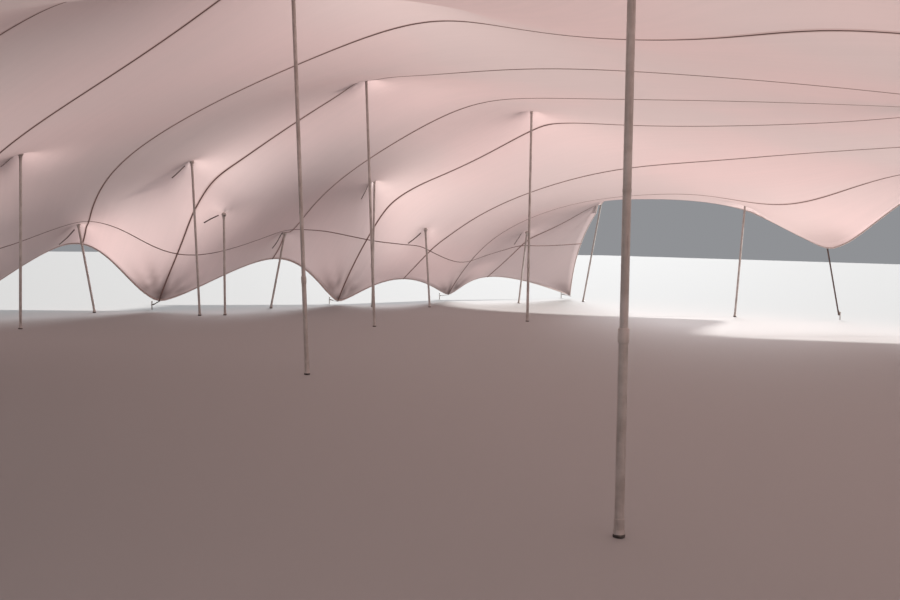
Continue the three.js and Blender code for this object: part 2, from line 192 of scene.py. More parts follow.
def with_east_top(pole):
    name, panel, run, height, across, along, cone = pole
    height, across, along = east_tops.get(name, (height, across, along))
    return name, panel, run, height, across, along, cone


def held_place(panel, run, height, across, along):
    x = run - sheet_length / 2 + centring
    y = sheet_width / 2 - panel * panel_pitch
    return np.array([x + across, y + along, height])


north_row = north_poles + [to_east(pole) for pole in north_poles]
poles = west_poles + [to_east(pole) for pole in west_poles]
poles += north_row + [to_south(pole) for pole in north_row] + middle_poles
poles = [with_east_top(pole) for pole in poles]

tips = []
for panel, height, across, along in west_tips:
    tips.append((panel, 0.0, held_place(panel, 0, height, across, along), (-1, 0)))
    tips.append((panel, sheet_length, held_place(panel, sheet_length, east_tip_height, 0, 0), (1, 0)))
for east in (1, -1):
    for south in (1, -1):
        run, height, across, along = open_tip
        run = run if east == 1 else sheet_length - run
        panel = 0 if south == 1 else panel_count
        tips.append((panel, run, held_place(panel, run, height, across * east, along * south), (0, south)))
print("poles:", len(poles), "tips:", len(tips))

# %% [markdown]
# ## The net
# A stretched sheet settles where every point is pulled equally by its neighbours. A net of
# threads does the same: each knot balances the pull of four threads, the hems pull harder,
# a little bending stiffness rounds the points, and pins hold the pole tops and tips. A grid
# modelled by hand would show kinks in the seams at once, and a net in balance has none.

# %% The net
net_rows = 72
net_columns = 72
most_net_steps = 4000
step_y = sheet_width / net_rows
step_x = sheet_length / net_columns


def hem_cut(run):
    """How many panels the curved north or south hem takes off at a run."""
    near = np.minimum(run, sheet_length - run)
    arch = np.sin(np.pi * run / sheet_length) ** 2
    return hem_depth * np.tanh(near / hem_reach) - hem_flattening * arch


def row_share(panel, run):
    """Where a seam count lies between the two hems, from 0 to 1."""
    cut = hem_cut(run)
    return np.clip((panel - cut) / (panel_count - 2 * cut), 0, 1)


pull_down = np.full((1, net_columns + 1), step_x / step_y)
pull_down[0, [0, -1]] = 0.5 * step_x / step_y + pegged_hem_pull / step_y
pull_along = np.full((net_rows + 1, 1), step_y / step_x)
pull_along[[0, -1], 0] = 0.5 * step_y / step_x + open_hem_pull / step_x

held = [(panel, run, held_place(panel, run, height - cone, across, along))
        for name, panel, run, height, across, along, cone in poles]
held += [(panel, run, place) for panel, run, place, out in tips]

pin_rows = []
pin_columns = []
pin_shares = []
for panel, run, place in held:
    row = row_share(panel, run) * net_rows
    column = run / step_x
    top = min(int(row), net_rows - 1)
    left = min(int(column), net_columns - 1)
    down = row - top
    over = column - left
    pin_rows.append([top, top + 1, top, top + 1])
    pin_columns.append([left, left, left + 1, left + 1])
    pin_shares.append([
        (1 - down) * (1 - over), down * (1 - over), (1 - down) * over, down * over])
pins = (np.array(pin_rows), np.array(pin_columns))
pin_shares = np.array(pin_shares)
pin_places = np.array([place for panel, run, place in held])
print("knots:", (net_rows + 1) * (net_columns + 1), "pins:", len(held))

# %% [markdown]
# ## A solver
# Each coordinate of the net is one large set of linear equations. Conjugate gradients only
# ask how hard the threads pull on each knot for given values, so nothing but sums of shifted
# arrays is needed. A cloth simulation would find much the same balance, but more slowly.

# %% Solving any such set of equations
def conjugate_gradients(values, load, pull, scale, most_steps):
    """Moves the values until the pull on them equals the load."""
    residual = load - pull(values)
    scaled = residual / scale
    direction = scaled.copy()
    power = (residual * scaled).sum()
    limit = power * 1e-13
    steps = 0
    while power > limit and steps < most_steps:
        product = pull(direction)
        along = power / (direction * product).sum()
        values = values + along * direction
        residual = residual - along * product
        scaled = residual / scale
        following = (residual * scaled).sum()
        direction = scaled + following / power * direction
        power = following
        steps += 1
    return values, steps


def add_differences(out, line, order, weight):
    """Adds what first or second differences along the first axis pull on each knot."""
    if order == 1:
        force = (line[1:] - line[:-1]) * weight
        out[1:] += force
        out[:-1] -= force
    else:
        force = (line[2:] - 2 * line[1:-1] + line[:-2]) * weight
        out[2:] += force
        out[1:-1] -= 2 * force
        out[:-2] += force


# %% [markdown]
# ## The balance
# East, north and height are balanced one after another, with the same threads and pins. The
# bending stiffness differs: it smooths the plan more than the heights, because real knit
# keeps its peaks sharp and yet shows no kink in its seams.

# %% Balancing the net
def spread(out, share, force):
    """Adds a force to every knot of each pin, by its share."""
    np.add.at(out, pins, share * force[:, None])


def balance(axis, rounding):
    """The balanced net for one coordinate."""
    bend_down = rounding ** 2 * step_x / step_y ** 3
    bend_along = rounding ** 2 * step_y / step_x ** 3
    bend_twist = 2 * rounding ** 2 / (step_x * step_y)

    def pull(values):
        out = np.zeros_like(values)
        add_differences(out, values, 1, pull_down)
        add_differences(out.T, values.T, 1, pull_along.T)
        add_differences(out, values, 2, bend_down)
        add_differences(out.T, values.T, 2, bend_along)
        twist = (values[1:, 1:] - values[1:, :-1] - values[:-1, 1:] + values[:-1, :-1]) * bend_twist
        out[1:, 1:] += twist
        out[:-1, :-1] += twist
        out[1:, :-1] -= twist
        out[:-1, 1:] -= twist
        spread(out, pin_shares, (values[pins] * pin_shares).sum(1) * pin_stiffness)
        return out

    # About how hard each knot resists a move, which lets the solver take even steps
    threads = 4.0
    scale = np.full((net_rows + 1, net_columns + 1), threads + 6 * (bend_down + bend_along))
    scale[:, [0, -1]] += 2 * pegged_hem_pull / step_y
    scale[[0, -1]] += 2 * open_hem_pull / step_x
    spread(scale, pin_shares ** 2, np.full(len(held), float(pin_stiffness)))
    load = np.zeros_like(scale)
    spread(load, pin_shares, pin_places[:, axis] * pin_stiffness)
    start = np.full_like(scale, pin_places[:, axis].mean())
    values, steps = conjugate_gradients(start, load, pull, scale, most_net_steps)
    print("coordinate", "xyz"[axis], "balanced in", steps, "steps")
    return values


net = np.stack([
    balance(0, plan_rounding),
    balance(1, plan_rounding),
    balance(2, peak_rounding),
], axis=-1)
print("sheet from", net.min((0, 1)).round(2), "to", net.max((0, 1)).round(2))

# %% [markdown]
# ## A finer sheet from the net
# The net has a knot every third of a metre. A Subdivision Surface modifier would smooth it,
# but it pulls the sheet away from its pins. A cubic curve through the knots in both
# directions gives three times as many points and stays on every one of them.

# %% Refining
finer = 3


def refine(values, times):
    """Cubic interpolation along the first axis, through every knot."""
    first = 2 * values[:1] - values[1:2]
    last = 2 * values[-1:] - values[-2:-1]
    padded = np.concatenate([first, values, last])
    count = len(values) - 1
    out = np.empty((count * times + 1,) + values.shape[1:])
    for part in range(times):
        t = part / times
        weights = (
            -0.5 * t + t ** 2 - 0.5 * t ** 3,
            1 - 2.5 * t ** 2 + 1.5 * t ** 3,
            0.5 * t + 2 * t ** 2 - 1.5 * t ** 3,
            -0.5 * t ** 2 + 0.5 * t ** 3,
        )
        out[part:-1:times] = sum(
            weight * padded[k:k + count] for k, weight in enumerate(weights)
        )
    out[-1] = values[-1]
    return out


surface = refine(net, finer)
surface = refine(surface.swapaxes(0, 1), finer).swapaxes(0, 1)
rows = surface.shape[0] - 1
columns = surface.shape[1] - 1
run_at = np.linspace(0, sheet_length, columns + 1)
cut_at = hem_cut(run_at)
share_at = np.linspace(0, 1, rows + 1)[:, None]
panel_at = cut_at + share_at * (panel_count - 2 * cut_at)
print("fine points:", surface.shape[:2])


def unit(vectors):
    return vectors / np.linalg.norm(vectors, axis=-1, keepdims=True)


def normals_of(points):
    """The upward direction at every point of the sheet."""
    return unit(np.cross(np.gradient(points, axis=0), np.gradient(points, axis=1)))


# %% [markdown]
# ## The heads of the poles
# Close to a pole the fabric climbs ever more steeply, as a soap film does round a wire. The
# net is too coarse for that, so the finer sheet is settled once more near every pole. For
# this the foot of each pole is read from its solid, and its head is set at the height that
# its row gives.

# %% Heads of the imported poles
head_radius = 0.045
crown_reach = 0.1
crown_rise = 0.06
point_core = 0.25
point_reach = 1.0
point_rounding = 0.12
hold_stiffness = 0.15
firm_hold = 400.0
on_ground = 0.001


def points_of(mesh):
    """The points of a mesh as an array of three columns."""
    points = np.empty(len(mesh.vertices) * 3)
    mesh.vertices.foreach_get("co", points)
    return points.reshape(-1, 3)


def ends_of(name, height):
    """The foot centre and head centre of a packed pole whose top is at a height."""
    mesh = nodes[name].data
    points = points_of(mesh)
    foot = points[points[:, 2] < on_ground]
    foot = (foot.min(0) + foot.max(0)) / 2
    crown = points[points[:, 2].argmax()]
    return Vector(foot), Vector((crown[0], crown[1], height - crown_rise))


pole_ends = {pole[0]: ends_of(pole[0], pole[3]) for pole in poles}


def away_from(place):
    """The level distance of every point of the sheet from a place."""
    return np.hypot(surface[..., 0] - place[0], surface[..., 1] - place[1])


tallest = max(pole_ends, key=lambda name: pole_ends[name][1].z)
print("tallest pole:", tallest, round(pole_ends[tallest][1].z, 2))

# %% [markdown]
# ## Settling the points
# The sheet is held to the net's shape everywhere but near a pole, and there only threads and
# a little stiffness shape it. How firmly it is held grows smoothly with the distance, and a
# few points right over each head stay level with its crown. Each peak could be sculpted, but
# no two of the 35 would match.

# %% Settling the points
most_point_steps = 1500
nearest_pole = np.full(surface.shape[:2], np.inf)
over_head = np.zeros(surface.shape[:2], dtype=bool)
for foot, head in pole_ends.values():
    away = away_from(head)
    nearest_pole = np.minimum(nearest_pole, away)
    close = away < crown_reach
    surface[close, 2] = head.z + crown_rise
    over_head |= close
free = np.clip((nearest_pole - point_core) / (point_reach - point_core), 0, 1)
hold = hold_stiffness * free ** 2 * (3 - 2 * free)
hold[over_head] = firm_hold
hold[[0, -1]] += firm_hold
hold[:, [0, -1]] += firm_hold


def held_pull(values):
    out = hold * values
    for there, line in ((out, values), (out.T, values.T)):
        add_differences(there, line, 1, 1.0)
        add_differences(there, line, 2, point_rounding)
    return out


before = surface[..., 2].copy()
surface[..., 2], steps = conjugate_gradients(
    before, hold * before, held_pull, hold + 4 + 12 * point_rounding, most_point_steps)
print("points settled in", steps, "steps, largest move", round(abs(surface[..., 2] - before).max(), 2))

# %% [markdown]
# ## Resting on the pole heads
# Each pole ends in a small round head, and the sheet has to lie on it without a gap and
# without cutting into it. Shrinkwrap would flatten the peak, so the sheet is lifted or
# lowered a little round each head until it just touches, measured on a denser patch of it.

# %% Seating
seat = head_radius + cloth_thickness / 2 + 0.001
lift_reach = 0.16
seating_turns = 6
overstep = 1.2
patch = 3
denser = 6
for turn in range(seating_turns):
    worst = 0
    for foot, head in pole_ends.values():
        away = away_from(head)
        row, column = np.unravel_index(away.argmin(), away.shape)
        window = (
            slice(max(row - patch, 0), row + patch + 1),
            slice(max(column - patch, 0), column + patch + 1),
        )
        dense = refine(refine(surface[window], denser).swapaxes(0, 1), denser)
        gap = seat - np.linalg.norm(dense - np.array(head), axis=-1).min()
        worst = max(worst, abs(gap))
        surface[..., 2] += gap * overstep * np.exp(-(away / lift_reach) ** 2)
print("last head correction", round(worst, 4))

# %% [markdown]
# ## From points to a piece
# Cloth and straps are worked out as arrays of points, so they become meshes directly. Each
# gets a UV map that follows the cloth, so a pattern on it stays in place however the piece
# is stretched or turned.

# %% Mesh helpers
def new_piece(name, points, faces, material):
    """A smooth mesh from points and faces, as an object at the origin."""
    mesh = bpy.data.meshes.new(name)
    mesh.from_pydata(points, [], faces)
    mesh.materials.append(material)
    mesh.polygons.foreach_set("use_smooth", [True] * len(mesh.polygons))
    mesh.update()
    piece = bpy.data.objects.new(name, mesh)
    bpy.context.scene.collection.objects.link(piece)
    return piece


def write_uv(piece, values):
    """Gives every corner of a mesh the value of its vertex."""
    mesh = piece.data
    layer = mesh.uv_layers.new(name="sheet")
    corners = np.empty(len(mesh.loops), dtype=np.int32)
    mesh.loops.foreach_get("vertex_index", corners)
    layer.data.foreach_set("uv", values[corners].astype(np.float32).ravel())


# %% [markdown]
# ## Shader helpers
# A finish is a tree of nodes, and most of its nodes add, multiply or mix. They could be
# drawn by hand, but a socket that can be used like a number makes a recipe readable as a
# sum. One class wraps a socket, and the other holds the material and makes its nodes.

# %% Sockets as numbers
class Wire:
    """One output of a shader tree, usable in sums."""

    def __init__(self, finish, socket):
        self.finish = finish
        self.socket = socket

    def math(self, operation, *values):
        return self.finish.node("ShaderNodeMath", {"operation": operation}, *values)

    def __add__(self, other):
        return self.math("ADD", self, other)

    def __sub__(self, other):
        return self.math("SUBTRACT", self, other)

    def __mul__(self, other):
        return self.math("MULTIPLY", self, other)

    def __radd__(self, other):
        return self.math("ADD", other, self)

    def __rsub__(self, other):
        return self.math("SUBTRACT", other, self)

    def __rmul__(self, other):
        return self.math("MULTIPLY", other, self)

    def ramp(self, low, high):
        """Runs smoothly from 0 at low to 1 at high."""
        settings = {"interpolation_type": "SMOOTHSTEP"}
        return self.finish.node("ShaderNodeMapRange", settings, self, low, high, 0.0, 1.0)

    def from_whole(self):
        """The distance to the nearest whole number."""
        return self.math("PINGPONG", self, 0.5)


class Finish:
    """A material whose nodes are made by calls."""

    def __init__(self, name, **fixed):
        self.material = bpy.data.materials.new(name)
        self.material.use_nodes = True
        self.tree = self.material.node_tree
        self.shader = self.tree.nodes["Principled BSDF"]
        self.output = self.tree.nodes["Material Output"]
        for key, value in fixed.items():
            self.shader.inputs[key.replace("_", " ").title()].default_value = value

    def node(self, kind, settings, *values, output=0):
        """A node with its settings made first and then the values or links of its sockets."""
        node = self.tree.nodes.new(kind)
        for key, value in settings.items():
            setattr(node, key, value)
        for socket, value in zip(node.inputs, values):
            if value is None:
                continue
            if isinstance(value, Wire):
                self.tree.links.new(value.socket, socket)
            else:
                socket.default_value = value
        return Wire(self, node.outputs[output])

    def feed(self, name, wire):
        self.tree.links.new(wire.socket, self.shader.inputs[name])

    def sheet_map(self):
        """The two values of the piece's UV map."""
        place = self.node("ShaderNodeUVMap", {"uv_map": "sheet"})
        first = self.node("ShaderNodeSeparateXYZ", {}, place)
        return first, Wire(self, first.socket.node.outputs[1])

    def object_place(self):
        return self.node("ShaderNodeTexCoord", {}, output=3)

    def noise(self, place, scale, detail, roughness=0.5):
        return self.node("ShaderNodeTexNoise", {}, place, None, scale, detail, roughness)

    def blend(self, share, one, two):
        """A colour between two, by a share from 0 to 1. The mix node's colours come sixth."""
        ends = [value if isinstance(value, Wire) else (*value, 1) for value in (one, two)]
        skipped = [None] * 5
        return self.node("ShaderNodeMix", {"data_type": "RGBA"}, share, *skipped, *ends, output=2)

    def vector(self, x, y):
        return self.node("ShaderNodeCombineXYZ", {}, x, y)

    def bump(self, height, depth, strength):
        wire = self.node("ShaderNodeBump", {}, strength, depth)
        self.tree.links.new(height.socket, wire.socket.node.inputs["Height"])
        self.feed("Normal", wire)


# %% [markdown]
# ## The fabric
# The real fabric is a pale pink-beige knit that lets sunlight through, so from below it
# glows where it faces the sun and darkens where it turns away. Subsurface scattering could
# do that too, but in a thin sheet a translucent shader is cleaner, and most of the mix is
# that. Fine streaks run along the panels, the double cloth beside each seam is denser, slow
# patches of tint break up the large surface, and rays round each tip are darker: partly the
# gathered cloth, partly painted shade of folds that are not modelled.

# %% Fabric recipe
streaks_per_m = (0.35, 14.0)
patches_per_m = (0.22, 0.3)
loops_per_m = (420.0, 300.0)
doubled_half = 0.02
see_through = 0.82
pale_tint = (0.765, 0.64, 0.625)
main_tint = (0.725, 0.635, 0.62)
streak_tint = (0.65, 0.575, 0.56)
doubled_tint = (0.5, 0.38, 0.35)
gather_shade_tint = (0.3, 0.24, 0.23)

fabric = Finish("stretch fabric", roughness=0.72)
sheet_x, sheet_y = fabric.sheet_map()
run_m = sheet_x * sheet_length
panels = sheet_y * panel_count
across_m = panels * panel_pitch


def cloth_noise(per_m, *settings):
    place = fabric.vector(run_m * per_m[0], across_m * per_m[1])
    return fabric.noise(place, 1.0, *settings)


streaks = cloth_noise(streaks_per_m, 4.0, 0.6)
patches = cloth_noise(patches_per_m, 2.0)
knit = cloth_noise(loops_per_m, 1.0)
seam_gap = panels.from_whole() * panel_pitch
doubled = 1.0 - seam_gap.ramp(doubled_half, doubled_half * 1.6)
# Painted shade, in part: an attribute that darkens rays round each tip
gather_shade = fabric.node("ShaderNodeAttribute", {"attribute_name": "gather_shade"}, output=2)

tint = fabric.blend(patches.ramp(0.35, 0.65), main_tint, pale_tint)
tint = fabric.blend((streaks - 0.5) * 0.5 + 0.25, tint, streak_tint)
tint = fabric.blend(doubled * 0.35, tint, doubled_tint)
# Partly the gathered cloth, partly painted shade of the folds round each tip
tint = fabric.blend(gather_shade, tint, gather_shade_tint)
fabric.feed("Base Color", tint)
fabric.bump(knit * 0.3 + streaks * 0.7, 0.002, 0.35)

glow = fabric.node("ShaderNodeBsdfTranslucent", {}, tint)
surface_shader = Wire(fabric, fabric.shader.outputs[0])
mixed = fabric.node("ShaderNodeMixShader", {}, see_through, surface_shader, glow)
fabric.tree.links.new(mixed.socket, fabric.output.inputs["Surface"])
print("fabric nodes:", len(fabric.tree.nodes))

# %% [markdown]
# ## The sheet as a mesh
# The canopy is one closed body: an upper and a lower face a cloth's thickness apart, and a
# narrow wall all round. Solidify would add the second face too, but with all of it written
# out both faces share one UV map, which holds the run and the seam count.

# %% Canopy
upward = normals_of(surface)
upper = surface + upward * cloth_thickness / 2
lower = surface - upward * cloth_thickness / 2
points = np.concatenate([upper.reshape(-1, 3), lower.reshape(-1, 3)])
across = columns + 1
layer_size = (rows + 1) * across

corner = (np.arange(rows)[:, None] * across + np.arange(columns)).ravel()
top_faces = np.stack([corner, corner + across, corner + across + 1, corner + 1], axis=1)
bottom_faces = top_faces[:, ::-1] + layer_size
north_rim = np.arange(columns)
south_rim = north_rim + rows * across
west_rim = np.arange(rows) * across
east_rim = west_rim + columns
walls = [
    (north_rim + 1, north_rim + 1 + layer_size, north_rim + layer_size, north_rim),
    (south_rim, south_rim + layer_size, south_rim + 1 + layer_size, south_rim + 1),
    (west_rim, west_rim + layer_size, west_rim + across + layer_size, west_rim + across),
    (east_rim + across, east_rim + across + layer_size, east_rim + layer_size, east_rim),
]
rim_faces = np.concatenate([np.stack(wall, axis=1) for wall in walls])
faces = np.concatenate([top_faces, bottom_faces, rim_faces])
canopy = new_piece("canopy", points.tolist(), faces.tolist(), fabric.material)
run_share = np.broadcast_to(run_at / sheet_length, panel_at.shape)
sheet_uv = np.stack([run_share, panel_at / panel_count], axis=-1).reshape(-1, 2)
write_uv(canopy, np.concatenate([sheet_uv, sheet_uv]))
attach(canopy, "root")
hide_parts(*["canopy_bay_%d" % bay for bay in range(1, 8)])
print("canopy triangles:", sum(len(face.vertices) - 2 for face in canopy.data.polygons))

# %% [markdown]
# ## Gathers at the tips, with painted shade
# Where the sheet narrows to a tip, it is drawn into folds that lie over each other and let
# less light through. Modelled folds would need a far denser mesh there. An attribute marks
# them instead: rays round each tip that fade with the distance, which the recipe darkens.
# The darkening is partly the gathered cloth and partly painted shade of the folds.

# %% Gathers
gather_reach = 0.55
folds_round = 10
weakest_fold = 0.3
gather_shade_at = np.zeros(surface.shape[:2])
# Painted shade of the folds, in part: rays round each tip that fade with the distance
for panel, run, tip, out in tips:
    away = np.linalg.norm(surface - np.array(tip), axis=-1)
    turn = np.arctan2((panel_at - panel) * panel_pitch, run_at - run)
    folds = (1 + weakest_fold) / 2 + (1 - weakest_fold) / 2 * np.cos(folds_round * turn)
    gather_shade_at = np.maximum(gather_shade_at, folds * np.exp(-(away / gather_reach) ** 2))
attribute = canopy.data.attributes.new("gather_shade", "FLOAT", "POINT")
attribute.data.foreach_set("value", np.tile(gather_shade_at.ravel(), 2))
print("gathered points:", int((gather_shade_at > 0.5).sum()))

# %% [markdown]
# ## The seam tape
# Neighbouring panels are joined by a narrow dark tape under a double row of stitches. Its
# ribs are too fine to be modelled, so they are noise that is long across the tape, and the
# stitches are pale dashes counted along its length.

# %% Tape recipe
stitches_per_m = 160.0
tape_ribs = (500.0, 40.0)

tape = Finish("seam tape", roughness=0.8)
tape_x, tape_y = tape.sheet_map()
stitch = (tape_x * stitches_per_m).from_whole().ramp(0.12, 0.2)
twill = tape.noise(tape.vector(tape_x * tape_ribs[0], tape_y * tape_ribs[1]), 1.0, 2.0)
tape_tint = tape.blend(twill, (0.17, 0.1, 0.085), (0.26, 0.16, 0.14))
tape_tint = tape.blend(stitch * 0.25, tape_tint, (0.3, 0.2, 0.18))
tape.feed("Base Color", tape_tint)
tape.bump(twill, 0.001, 0.5)
print("tape nodes:", len(tape.tree.nodes))

# %% [markdown]
# ## Strips
# Tapes, straps and tabs are all flat bands. A curve with a flat bevel would twist where it
# bends, so a strip is built from its centre line and from the two directions that it has to
# face at every point, and its ends are closed.

# %% Strips along the sheet
def on_sheet(grid, row, column):
    """A value of the sheet's grid between its points."""
    top = np.clip(np.floor(row).astype(int), 0, rows - 1)
    left = np.clip(np.floor(column).astype(int), 0, columns - 1)
    down = (row - top)[:, None]
    over = (column - left)[:, None]
    north = grid[top, left] * (1 - over) + grid[top, left + 1] * over
    south = grid[top + 1, left] * (1 - over) + grid[top + 1, left + 1] * over
    return north * (1 - down) + south * down


def strip(name, centre, sideways, outward, width, thickness, material):
    """A closed flat strip along a line, with its length and width in the UV map."""
    half = sideways * width / 2
    depth = outward * thickness / 2
    ring = [centre - half - depth, centre + half - depth, centre + half + depth, centre - half + depth]
    count = len(centre)
    points = np.stack(ring, axis=1).reshape(-1, 3)
    faces = []
    for step in range(count - 1):
        here = step * 4
        there = here + 4
        for side in range(4):
            beside = (side + 1) % 4
            faces.append((here + side, there + side, there + beside, here + beside))
    faces.append((0, 1, 2, 3))
    last = (count - 1) * 4
    faces.append((last + 3, last + 2, last + 1, last))
    piece = new_piece(name, points.tolist(), faces, material)
    length = np.concatenate([[0], np.cumsum(np.linalg.norm(np.diff(centre, axis=0), axis=1))])
    uv = np.stack([np.repeat(length, 4), np.tile([0, 1, 1, 0], count)], axis=1)
    write_uv(piece, uv)
    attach(piece, "root")
    return piece


def strip_under(name, row, column, width, thickness, material, drop):
    """A strip under the sheet along a line of rows and columns."""
    centre = on_sheet(surface, row, column)
    normal = unit(on_sheet(upward, row, column))
    along = unit(np.gradient(centre, axis=0))
    sideways = unit(np.cross(normal, along))
    return strip(name, centre - normal * drop, sideways, normal, width, thickness, material)


# %% [markdown]
# ## Laying the tapes
# A seam keeps its seam count, so its row on the sheet follows from what the curved hems take
# off there. The outermost seams run into the hem and out again, so each is two tapes. One
# more tape, a metre in from each pegged edge, joins the edge band to the panels.

# %% Panel seams
tape_width = 0.024
band_tape_width = 0.02
tape_thickness = 0.002
tape_drop = cloth_thickness / 2 + 0.0025
edge_band = 0.95
shortest_part = 4
for count in range(1, panel_count):
    share = (count - cut_at) / (panel_count - 2 * cut_at)
    inside = (share >= 0) & (share <= 1)
    pieces = np.split(np.arange(columns + 1), np.where(np.diff(inside.astype(int)) != 0)[0] + 1)
    for part in pieces:
        if not inside[part[0]] or len(part) < shortest_part:
            continue
        end = "east"
        if part[0] == 0:
            end = "west" if part[-1] < columns else "whole"
        strip_under(
            "seam_%02d_%s" % (count, end), share[part] * rows, part.astype(float),
            tape_width, tape_thickness, tape.material, tape_drop)
for side, run in (("west", edge_band), ("east", sheet_length - edge_band)):
    row = np.arange(rows + 1).astype(float)
    column = np.full(rows + 1, run / sheet_length * columns)
    strip_under(
        "edge_band_seam_" + side, row, column,
        band_tape_width, tape_thickness, tape.material, tape_drop + tape_thickness)

# %% [markdown]
# ## The hem
# The edge of the sheet is folded over a cord and stitched, which makes a narrow thicker rim
# in the cloth's own colour. Its outer edge, where the cord lies, is made paler: a painted
# highlight where the sun catches it. It could be a bevelled curve, but a flat tube of eight
# sides keeps its wide face in the plane of the cloth.

# %% Hem
hem_finish = Finish("hem", roughness=0.75)
hem_x, hem_y = hem_finish.sheet_map()
hem_grain = hem_finish.noise(hem_finish.vector(hem_x * 60.0, 0.0), 1.0, 3.0)
hem_tint = hem_finish.blend(hem_grain, (0.5, 0.38, 0.35), (0.62, 0.5, 0.47))
# Painted highlight: the outer edge of the hem is paler, as where the sun catches it
painted_edge_highlight = 1.0 - hem_y.from_whole().ramp(0.1, 0.2)
hem_tint = hem_finish.blend(painted_edge_highlight * 0.8, hem_tint, (0.8, 0.73, 0.69))
hem_finish.feed("Base Color", hem_tint)
hem_finish.bump(hem_grain, 0.002, 0.4)

hem_width = 0.038
hem_thickness = 0.009


def rim_line(row, column, inward_row, inward_column):
    """The places along one edge, with the directions into the sheet and up from it."""
    place = surface[row, column]
    inward = unit(surface[inward_row, inward_column] - place)
    return place, inward, upward[row, column]


r_all = np.arange(rows + 1)
c_all = np.arange(columns + 1)
edges = [
    rim_line(0, c_all, 1, c_all),
    rim_line(r_all[1:], columns, r_all[1:], columns - 1),
    rim_line(rows, c_all[-2::-1], rows - 1, c_all[-2::-1]),
    rim_line(r_all[-2:0:-1], 0, r_all[-2:0:-1], 1),
]
rim_place = np.concatenate([edge[0] for edge in edges])
rim_inward = np.concatenate([edge[1] for edge in edges])
rim_normal = np.concatenate([edge[2] for edge in edges])
upper_profile = [(0.0, 0.4), (0.15, 0.5), (0.95, 0.42)]
lower_profile = [(inward, -rise) for inward, rise in reversed(upper_profile)]
profile = [(-0.1, 0.0)] + upper_profile + [(1.0, 0.0)] + lower_profile
ring = [
    rim_place + rim_inward * hem_width * inward + rim_normal * hem_thickness * rise
    for inward, rise in profile
]
sides = len(profile)
count = len(rim_place)
hem_points = np.stack(ring, axis=1).reshape(-1, 3)
hem_faces = []
for step in range(count):
    here = step * sides
    there = (step + 1) % count * sides
    for side in range(sides):
        beside = (side + 1) % sides
        hem_faces.append((here + side, here + beside, there + beside, there + side))
hem = new_piece("hem", hem_points.tolist(), hem_faces, hem_finish.material)
hem_length = np.concatenate([[0], np.cumsum(np.linalg.norm(np.diff(rim_place, axis=0), axis=1))])
round_hem = np.tile(np.linspace(0, 1, sides), count)
write_uv(hem, np.stack([np.repeat(hem_length, sides), round_hem], axis=1))
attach(hem, "root")
print("hem length", round(float(hem_length[-1]), 1), "m")

# %% [markdown]
# ## Metal, rubber and webbing
# The tubes are bare aluminium gone dull, so they are half metallic with long scratches and
# slow blotches. The soles are dark rubber with dust on it, and the straps a coarse dark
# webbing whose ribs cross them. Two colours and a noise or two make each of these, where
# painted textures would have to be stretched over 35 different lengths.

# %% Recipes for the hard and woven parts
metal = Finish("dull aluminium", metallic=0.55, roughness=0.45)
metal_place = metal.object_place()
blotch = metal.noise(metal_place, 7.0, 5.0, 0.6)
stretch = metal.node("ShaderNodeVectorMath", {"operation": "MULTIPLY"}, metal_place, (70, 70, 5))
scratch = metal.noise(stretch, 1.0, 4.0)
metal_tint = metal.blend(blotch.ramp(0.3, 0.7), (0.46, 0.42, 0.39), (0.62, 0.58, 0.55))
metal_tint = metal.blend(scratch.ramp(0.58, 0.72) * 0.5, metal_tint, (0.3, 0.26, 0.24))
metal.feed("Base Color", metal_tint)
metal.feed("Roughness", blotch * 0.3 + 0.3)
metal.bump(scratch, 0.001, 0.3)

rubber = Finish("dark rubber", roughness=0.8)
dust = rubber.noise(rubber.object_place(), 40.0, 4.0)
rubber_tint = rubber.blend(dust.ramp(0.4, 0.7), (0.05, 0.045, 0.042), (0.14, 0.125, 0.115))
rubber.feed("Base Color", rubber_tint)
rubber.bump(dust, 0.001, 0.4)

ribs_per_m = 220.0
webbing = Finish("dark webbing", roughness=0.85)
webbing_x, webbing_y = webbing.sheet_map()
rib = (webbing_x * ribs_per_m).from_whole() * 2.0
fray = webbing.noise(webbing.vector(webbing_x * 90.0, webbing_y * 6.0), 1.0, 3.0)
webbing_tint = webbing.blend(rib * 0.4 + fray * 0.6, (0.07, 0.045, 0.04), (0.2, 0.14, 0.12))
webbing.feed("Base Color", webbing_tint)
webbing.bump(rib + fray, 0.001, 0.6)
print("nodes:", [len(finish.tree.nodes) for finish in (metal, rubber, webbing)])

# %% [markdown]
# ## Turning a round part
# Poles, heads, feet and pegs are all round. A lathe profile through the spin tool would
# work, but a circle that is drawn upwards, ring by ring, follows a list of radii and
# heights just as well and leaves an even mesh with closed ends.

# %% A helper for round parts
def drawn_up(name, sides, rings, finish):
    """A closed round body: rings are radii and heights, from the lowest to the highest."""
    bpy.ops.object.select_all(action="DESELECT")
    radius, height = rings[0]
    bpy.ops.mesh.primitive_circle_add(
        vertices=sides, radius=radius, fill_type="NGON", location=(0, 0, 0))
    piece = bpy.context.object
    piece.name = name
    bpy.ops.object.mode_set(mode="EDIT")
    bpy.ops.mesh.select_all(action="SELECT")
    bpy.ops.transform.translate(value=(0, 0, height))
    for next_radius, next_height in rings[1:]:
        bpy.ops.mesh.extrude_region_move(
            TRANSFORM_OT_translate={"value": (0, 0, next_height - height)})
        ratio = next_radius / radius
        bpy.ops.transform.resize(value=(ratio, ratio, 1), center_override=(0, 0, next_height))
        radius = next_radius
        height = next_height
    bpy.ops.mesh.select_all(action="SELECT")
    bpy.ops.mesh.normals_make_consistent(inside=False)
    bpy.ops.object.mode_set(mode="OBJECT")
    bpy.ops.object.shade_smooth_by_angle(angle=math.radians(35))
    piece.data.materials.append(finish.material)
    return piece


def copy_of(model, name, place=(0, 0, 0)):
    """A copy with its own mesh, moved to a place and riding on the tent."""
    piece = model.copy()
    piece.data = model.data.copy()
    piece.name = name
    bpy.context.scene.collection.objects.link(piece)
    piece.data.transform(Matrix.Translation(place))
    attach(piece, "root")
    return piece


